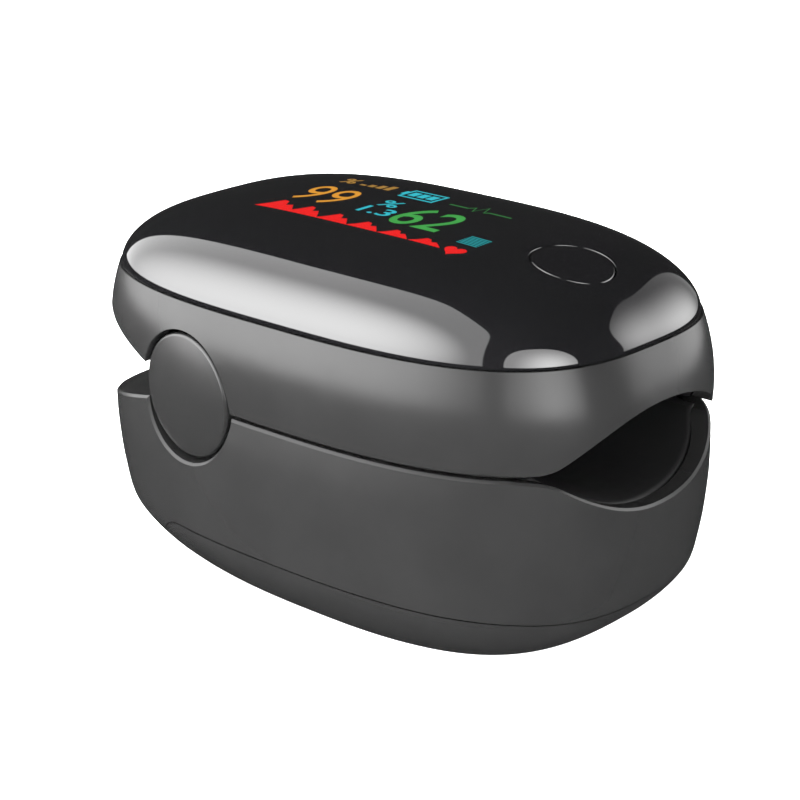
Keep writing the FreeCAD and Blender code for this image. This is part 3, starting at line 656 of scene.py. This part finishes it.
# %% Cells
CELL_RADIUS = 5.1
CELL_PROFILE = ((0.1, 0.0), (3.9, 0.0), (4.0, 0.06), (4.45, 0.06), (4.8, 0.1), (5.0, 0.28),
                (CELL_RADIUS, 0.6),
                (CELL_RADIUS, 20.0), (CELL_RADIUS, 41.2), (5.02, 41.55), (5.0, 41.8), (CELL_RADIUS, 42.2),
                (CELL_RADIUS, 43.1), (5.0, 43.5), (4.7, 43.68), (4.4, CELL_LENGTH), (4.3, 43.6),
                (4.25, 43.35),
                (2.0, 43.35), (1.9, 43.4), (1.9, 44.3), (1.75, 44.5), (0.1, 44.5))
for side, label in ((-1, "left"), (1, "right")):
    rings = turned(CELL_PROFILE, 64)
    cell = skin("aaa_cell_" + label, rings, sleeve, sharp=30)
    cell.data.materials.append(nickel)
    for face in cell.data.polygons:
        reach = max(math.hypot(cell.data.vertices[k].co.x, cell.data.vertices[k].co.y) for k in face.vertices)
        if reach < 4.3 * MM:
            face.material_index = 1
    low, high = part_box("battery_" + label)
    start = low.y if side > 0 else high.y
    cell.matrix_world = (Matrix.Translation((side * CELL_SIDE * MM, start, CELL_HEIGHT * MM))
                         @ Matrix.Rotation(math.radians(-90 * side), 4, "X"))
    settle(cell, "lower_jaw", "cell_sleeve", "battery_" + label)
print("cells lie", round(2 * CELL_SIDE, 1), "mm apart")

# %% [markdown]
# ## What the display shows
# The display lies under the smoked cover, so only its lit points show: two large readings, smaller
# signs and a red pulse wave. The drawing is laid out flat, u along the reading direction and v up, then
# draped over the cover: u runs from the hinge towards the button and v from left to right. Large flat
# faces would cut through the dome, so each shape is first cut on a one-millimetre grid. Units and
# names are left out, and plain signs stand for them: a per cent sign, a pulse line, a heart, a battery.

# %% Display helpers
DISPLAY_LIFT = 0.012


def lit(name, hex_colour, strength=1.0):
    """A lit part of the display: its colour glows, with the fine grid of its dots in it."""
    material, tree, shader = finish_of(name, {"Roughness": 0.04, "IOR": 1.585, "Emission Strength": strength})
    place = add_node(tree, "ShaderNodeTexCoord").outputs["Object"]
    dots = add_node(tree, "ShaderNodeTexBrick",
                      {"Scale": 1 / MM, "Brick Width": 0.105, "Row Height": 0.105, "Mortar Size": 0.008,
                       "offset": 0.0, "Color1": linear(hex_colour), "Color2": linear(hex_colour),
                       "Mortar": [0.75 * c for c in linear(hex_colour)[:3]] + [1.0]},
                      {"Vector": place})
    tree.links.new(dots.outputs["Color"], shader.inputs["Emission Color"])
    shader.inputs["Base Color"].default_value = linear("#101011")
    return material


def drape(name, edit, finish):
    """Cut flat faces on a grid, lay them on the cover, and let the piece ride on the upper jaw."""
    for axis in (0, 1):
        places = [vert.co[axis] for vert in edit.verts]
        for line in range(math.floor(min(places)), math.ceil(max(places)) + 1):
            normal = Vector((1, 0, 0)) if axis == 0 else Vector((0, 1, 0))
            bmesh.ops.bisect_plane(edit, geom=edit.verts[:] + edit.edges[:] + edit.faces[:],
                                   plane_co=normal * line, plane_no=normal)
    for vert in edit.verts:
        x, y = vert.co.y, -vert.co.x
        vert.co = Vector((x, y, dome(x, y) + DISPLAY_LIFT)) * MM
    for face in edit.faces:
        face.normal_update()
        if face.normal.z < 0:
            face.normal_flip()
    mesh = bpy.data.meshes.new(name)
    edit.to_mesh(mesh)
    edit.free()
    mesh.shade_smooth()
    mesh.materials.append(finish)
    piece = bpy.data.objects.new(name, mesh)
    bpy.context.collection.objects.link(piece)
    return settle(piece, "upper_jaw", "panel_glass")


def polygon(edit, points):
    edit.faces.new([edit.verts.new((u, v, 0)) for u, v in points])


def bar(edit, low_u, high_u, low_v, high_v):
    polygon(edit, ((low_u, low_v), (high_u, low_v), (high_u, high_v), (low_u, high_v)))


def ring_of_bars(edit, low_u, high_u, low_v, high_v, line):
    """A rectangle's outline, drawn with four bars."""
    bar(edit, low_u, high_u, low_v, low_v + line)
    bar(edit, low_u, high_u, high_v - line, high_v)
    bar(edit, low_u, low_u + line, low_v + line, high_v - line)
    bar(edit, high_u - line, high_u, low_v + line, high_v - line)


def figures(edit, text, low_u, high_u, low_v, high_v, weight=0.0):
    """Plain figures, scaled to fill a box."""
    font = bpy.data.curves.new("figures", "FONT")
    font.body = text
    font.offset = weight
    font.resolution_u = 6
    writing = bpy.data.objects.new("figures", font)
    mesh = bpy.data.meshes.new_from_object(writing)
    us = [vert.co.x for vert in mesh.vertices]
    vs = [vert.co.y for vert in mesh.vertices]
    for vert in mesh.vertices:
        vert.co.x = low_u + (vert.co.x - min(us)) / (max(us) - min(us)) * (high_u - low_u)
        vert.co.y = low_v + (vert.co.y - min(vs)) / (max(vs) - min(vs)) * (high_v - low_v)
        vert.co.z = 0
    edit.from_mesh(mesh)
    bpy.data.objects.remove(writing)
    bpy.data.meshes.remove(mesh)


print("signs lie", DISPLAY_LIFT, "mm above the cover")


# %% [markdown]
# The colours are those of a small colour display: amber for oxygen, green for the pulse rate, cyan for
# the rest, and red for the wave. Each reading has a sign above it.

# %% Readings
amber, green = lit("lit_amber", "#e39a2c"), lit("lit_green", "#3fa648")
cyan, red = lit("lit_cyan", "#2fc0cf"), lit("lit_red", "#f0120e")
teal = lit("lit_teal", "#1c979c")
dim_green, dim_amber = lit("lit_dim_green", "#2f7d3a", 0.8), lit("lit_dim_amber", "#b98a3a", 0.8)

edit = bmesh.new()
figures(edit, "99", -12.1, -6.5, -2.5, 2.8, -0.004)
drape("reading_oxygen", edit, amber)
edit = bmesh.new()
figures(edit, "%", -12.2, -10.4, 4.7, 6.6, 0.02)
for k in range(4):
    bar(edit, -9.6 + 1.0 * k, -8.9 + 1.0 * k, 4.9, 5.3 + 0.4 * k)
drape("oxygen_sign", edit, dim_amber)
edit = bmesh.new()
figures(edit, "62", 0.7, 6.9, -3.2, 2.5, 0.004)
drape("reading_pulse", edit, green)
edit = bmesh.new()
PULSE_LINE = ((1.8, 4.9), (4.0, 4.9), (4.5, 5.5), (5.0, 4.3), (5.5, 6.2), (6.1, 4.6), (6.6, 4.9), (9.1, 4.9))
for (u1, v1), (u2, v2) in zip(PULSE_LINE, PULSE_LINE[1:]):
    polygon(edit, ((u1, v1 - 0.14), (u2, v2 - 0.14), (u2, v2 + 0.14), (u1, v1 + 0.14)))
drape("pulse_sign", edit, dim_green)
edit = bmesh.new()
figures(edit, "1.3", -3.5, 0.15, -2.2, -0.1, 0.01)
figures(edit, "%", -3.4, -1.2, 0.4, 2.4, 0.01)
drape("reading_index", edit, cyan)
print("readings drawn")

# %% [markdown]
# The battery sign is an outline with a nub and three bars. The wave is a row of pulses seen from the
# side: each rises fast, falls more slowly and has a second small hump. The heart is a curve with a
# formula of its own, and the striped bar shows the strength of the pulse.

# %% Signs and wave
edit = bmesh.new()
ring_of_bars(edit, -4.0, 0.2, 4.1, 6.8, 0.26)
bar(edit, -4.35, -4.0, 4.9, 6.0)
for k in range(3):
    bar(edit, -3.4 + 1.1 * k, -2.55 + 1.1 * k, 4.8, 6.1)
drape("battery_sign", edit, cyan)

edit = bmesh.new()
for k in range(7):
    bar(edit, 10.2, 12.5, -4.0 + 0.33 * k, -3.8 + 0.33 * k)
drape("strength_bar", edit, teal)

WAVE_BASE = -6.2
PULSE_SHAPE = ((0.0, 0.04), (0.16, 0.42), (0.30, 0.98), (0.44, 0.92), (0.58, 0.52), (0.70, 0.66),
               (0.88, 0.30), (1.0, 0.04))
PULSES = ((-12.4, 4.6, 2.7), (-8.5, 3.9, 2.5), (-4.7, 3.8, 2.2), (-0.9, 3.7, 1.9), (2.9, 3.5, 1.6),
          (6.6, 3.6, 1.4))
edit = bmesh.new()
for start, width, tall in PULSES:
    for (u1, v1), (u2, v2) in zip(PULSE_SHAPE, PULSE_SHAPE[1:]):
        left, right = start + width * u1, start + width * u2
        polygon(edit, ((left, WAVE_BASE), (right, WAVE_BASE), (right, WAVE_BASE + tall * v2),
                       (left, WAVE_BASE + tall * v1)))
drape("pulse_wave", edit, red)

edit = bmesh.new()
heart = []
for k in range(40):
    turn = 2 * math.pi * k / 40
    across = 16 * math.sin(turn) ** 3
    up = 13 * math.cos(turn) - 5 * math.cos(2 * turn) - 2 * math.cos(3 * turn) - math.cos(4 * turn)
    heart.append((11.6 + across / 16 * 1.1, -5.9 + up / 16 * 1.1))
middle = edit.verts.new((11.6, -5.9, 0))
rim = [edit.verts.new((u, v, 0)) for u, v in heart]
for k in range(40):
    edit.faces.new((middle, rim[k], rim[(k + 1) % 40]))
drape("heart_sign", edit, red)

# %% [markdown]
# ## Camera
# A long lens from the front left, a little above the device, keeps the sides nearly parallel.

# %% Camera
AIM = Vector((0, 0, 13.32 * MM))
AZIMUTH, ELEVATION, ROLL = (math.radians(v) for v in (-47.7, 21.62, -0.56))
DISTANCE = 208.0 * MM
back = Vector((math.sin(AZIMUTH) * math.cos(ELEVATION), -math.cos(AZIMUTH) * math.cos(ELEVATION),
               math.sin(ELEVATION)))
level = Vector((math.cos(AZIMUTH), math.sin(AZIMUTH), 0))
across = math.cos(ROLL) * level + math.sin(ROLL) * back.cross(level)
upward = back.cross(across)
lens = bpy.data.cameras.new("camera")
lens.lens = 98.8
lens.shift_x = -0.0024
lens.shift_y = 0.0738
lens.clip_start = 0.01
camera = bpy.data.objects.new("camera", lens)
camera.matrix_world = Matrix((across, upward, back)).transposed().to_4x4()
camera.location = AIM + back * DISTANCE
bpy.context.collection.objects.link(camera)
bpy.context.scene.camera = camera
print("camera", round(DISTANCE / MM), "mm away with a", lens.lens, "mm lens")

# %% [markdown]
# ## Floor and backdrop
# The device stands on a light table: white acrylic with a matt face, lit from below, which throws soft
# light up under the belly and leaves almost no shadow. It is kept out of the reflections, as black
# cards would do in a studio, so the lower edges of the gloss stay dark. A plain white dome stands
# far behind for the camera alone, and lights nothing.

# %% Floor and backdrop
opal, tree, shader = finish_of("opal_acrylic_matt", {"Roughness": 0.9, "Specular IOR Level": 0.1,
                                                     "Emission Strength": 1.4})
tree.links.new(two_tones(tree, grain(tree, 1.5), "#f6f6f6", "#f9f9f9"), shader.inputs["Base Color"])
shader.inputs["Emission Color"].default_value = linear("#ffffff")
white_cloth, tree, shader = finish_of("white_cloth", {"Roughness": 1.0, "Emission Strength": 1.0})
tree.links.new(two_tones(tree, grain(tree, 3.0), "#fdfdfd", "#ffffff"), shader.inputs["Emission Color"])
FLOOR_RADIUS, FLOOR_THICKNESS, BACKDROP_RADIUS = 1600, 2, 2400
floor = skin("floor", turned([(FLOOR_RADIUS, -FLOOR_THICKNESS), (FLOOR_RADIUS, 0)], 96), opal)
dome_profile = []
for k in range(17):
    rise = k * math.pi / 33
    dome_profile.append((BACKDROP_RADIUS * math.cos(rise), BACKDROP_RADIUS * math.sin(rise) - FLOOR_THICKNESS))
backdrop = skin("backdrop", turned(dome_profile, 96), white_cloth, sharp=180)
floor.visible_glossy = False
backdrop.visible_glossy = backdrop.visible_diffuse = backdrop.visible_shadow = False
backdrop.visible_transmission = False
print("light table", round(floor.dimensions.x, 1), "m wide")

# %% [markdown]
# ## Softboxes
# Polished black shows its lights as shapes, so each softbox is there for one reflection: a long panel
# on the left for the bright band along the shoulder, a slim one in front for the small highlight over
# the opening, and one on the right for the patch beside the button. A softbox is brightest where its
# lamp sits and fades towards its rounded edge. A wide soft panel overhead fills in the rest, and is
# kept out of the reflections so that the top of the cover stays dark.

# %% Softboxes
def softbox(name, azimuth, distance, width, high, squareness, lamp, reach, bright, dim):
    """An upright panel of light with a rounded top; azimuth runs from +X towards +Y. It is brightest
    at its lamp, a place given across and up the panel, and fades to dim over the reach given."""
    turn = math.radians(azimuth)
    edit = bmesh.new()
    edge = []
    for k in range(33):
        across, up = math.cos(math.pi * k / 32), math.sin(math.pi * k / 32)
        reach_out = (abs(across) ** squareness + abs(up) ** squareness) ** (-1 / squareness)
        edge.append(edit.verts.new((width / 2 * across * reach_out, 0, high * up * reach_out)))
    edit.faces.new(edge)
    mesh = bpy.data.meshes.new(name)
    edit.to_mesh(mesh)
    edit.free()
    glow = bpy.data.materials.new(name)
    glow.use_nodes = True
    tree = glow.node_tree
    tree.nodes.clear()
    place = add_node(tree, "ShaderNodeTexCoord").outputs["Object"]
    offset = add_node(tree, "ShaderNodeVectorMath", {"operation": "SUBTRACT", 1: (lamp[0], 0, lamp[1])},
                      {0: place})
    scaled = add_node(tree, "ShaderNodeVectorMath", {"operation": "DIVIDE", 1: (reach[0], 1, reach[1])},
                      {0: offset.outputs["Vector"]})
    far = add_node(tree, "ShaderNodeVectorMath", {"operation": "LENGTH"}, {0: scaled.outputs["Vector"]})
    fade = add_node(tree, "ShaderNodeMapRange",
                    {"interpolation_type": "SMOOTHSTEP", "To Min": bright, "To Max": dim},
                    {"Value": far.outputs["Value"]})
    emission = add_node(tree, "ShaderNodeEmission", None, {"Strength": fade.outputs[0]})
    add_node(tree, "ShaderNodeOutputMaterial", None, {"Surface": emission.outputs["Emission"]})
    mesh.materials.append(glow)
    panel = bpy.data.objects.new(name, mesh)
    panel.location = (distance * math.cos(turn), distance * math.sin(turn), 0)
    panel.rotation_euler = (0, 0, turn - math.pi / 2)
    panel.visible_camera = False
    bpy.context.collection.objects.link(panel)
    return panel


softbox("left_softbox", 139, 0.26, 0.94, 1.3, 6.0, (-0.05, 0.12), (0.33, 0.42), 13.0, 3.2)
softbox("front_softbox", -117, 0.42, 0.48, 0.47, 2.6, (-0.04, 0.05), (0.25, 0.42), 12.0, 4.5)
softbox("right_softbox", -20, 0.30, 0.38, 0.30, 2.6, (0.07, 0.09), (0.22, 0.25), 6.0, 0.6)

sky = bpy.data.lights.new("sky_panel", "AREA")
sky.shape = "DISK"
sky.size = 1.2
sky.energy = 4.5
sky_panel = bpy.data.objects.new("sky_panel", sky)
sky_panel.location = (0, 0, 0.9)
sky_panel.visible_camera = False
sky_panel.visible_glossy = False
bpy.context.collection.objects.link(sky_panel)

world = bpy.data.worlds.new("studio")
world.use_nodes = True
world.node_tree.nodes["Background"].inputs["Color"].default_value = (1, 1, 1, 1)
world.node_tree.nodes["Background"].inputs["Strength"].default_value = 0.03
bpy.context.scene.world = world
bpy.context.scene.view_settings.view_transform = "Standard"
print("overhead panel", sky.size, "m wide,", sky.energy, "W")
